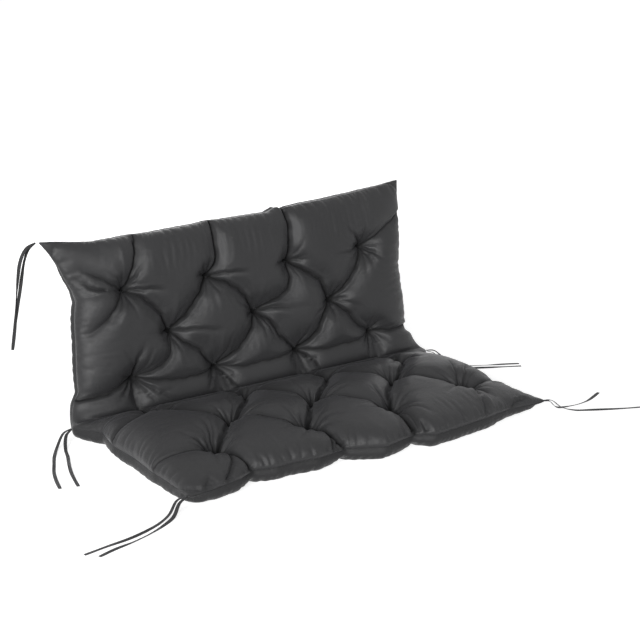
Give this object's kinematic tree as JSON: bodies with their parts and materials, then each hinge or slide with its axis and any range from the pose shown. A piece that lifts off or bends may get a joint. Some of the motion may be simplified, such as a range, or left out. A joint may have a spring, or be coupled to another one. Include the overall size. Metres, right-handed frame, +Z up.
{
  "type": "porch swing seat cushion",
  "caption": "Tufted swing or bench cushion: a padded seat and a padded back joined by a soft fold, with tie tapes at its corners.",
  "frame": {"origin": "middle of the footprint, on the surface the seat lies on, without the tie tapes", "axes": "+X to the right as seen from the front, -Y towards the front of the seat, +Z up"},
  "size_m": [1.7878, 0.8559, 0.5637],
  "materials": {
    "face_cloth": "plain-woven charcoal polyester with a soft sheen",
    "rear_cloth": "the same cloth on the underside and the rear",
    "seam": "sewn and turned edge",
    "filling": "loose white fibre",
    "thread": "black waxed thread",
    "tape": "flat woven tape"
  },
  "bodies": {
    "seat": {"seat_face_panel": "face_cloth", "seat_underside_panel": "rear_cloth", "seat_filling": "filling", "seat_edge_seam": "seam", "fold_inner_strip": "face_cloth", "fold_outer_strip": "rear_cloth", "fold_filling": "filling", "fold_end_seams": "seam", "seat_tufts_rear": "thread", "seat_tufts_middle": "thread", "seat_tufts_front": "thread", "fold_left_tie_long": "tape", "fold_left_tie_short": "tape", "fold_right_tie_long": "tape", "fold_right_tie_short": "tape", "front_left_tie_long": "tape", "front_left_tie_short": "tape", "front_right_tie_long": "tape", "front_right_tie_short": "tape"},
    "back": {"back_face_panel": "face_cloth", "back_rear_panel": "rear_cloth", "back_filling": "filling", "back_edge_seam": "seam", "back_tufts_low": "thread", "back_tufts_middle": "thread", "back_tufts_top": "thread", "top_left_tie_long": "tape", "top_left_tie_short": "tape"}
  },
  "joints": [
    {"name": "back_fold", "type": "hinge", "parent": "seat", "child": "back", "pos_m": [0.02, 0.21294, 0.096], "axis": [1, 0, 0], "range_deg": [-80, 92], "deforming": ["fold_inner_strip", "fold_outer_strip", "fold_filling", "fold_end_seams"]}
  ]
}
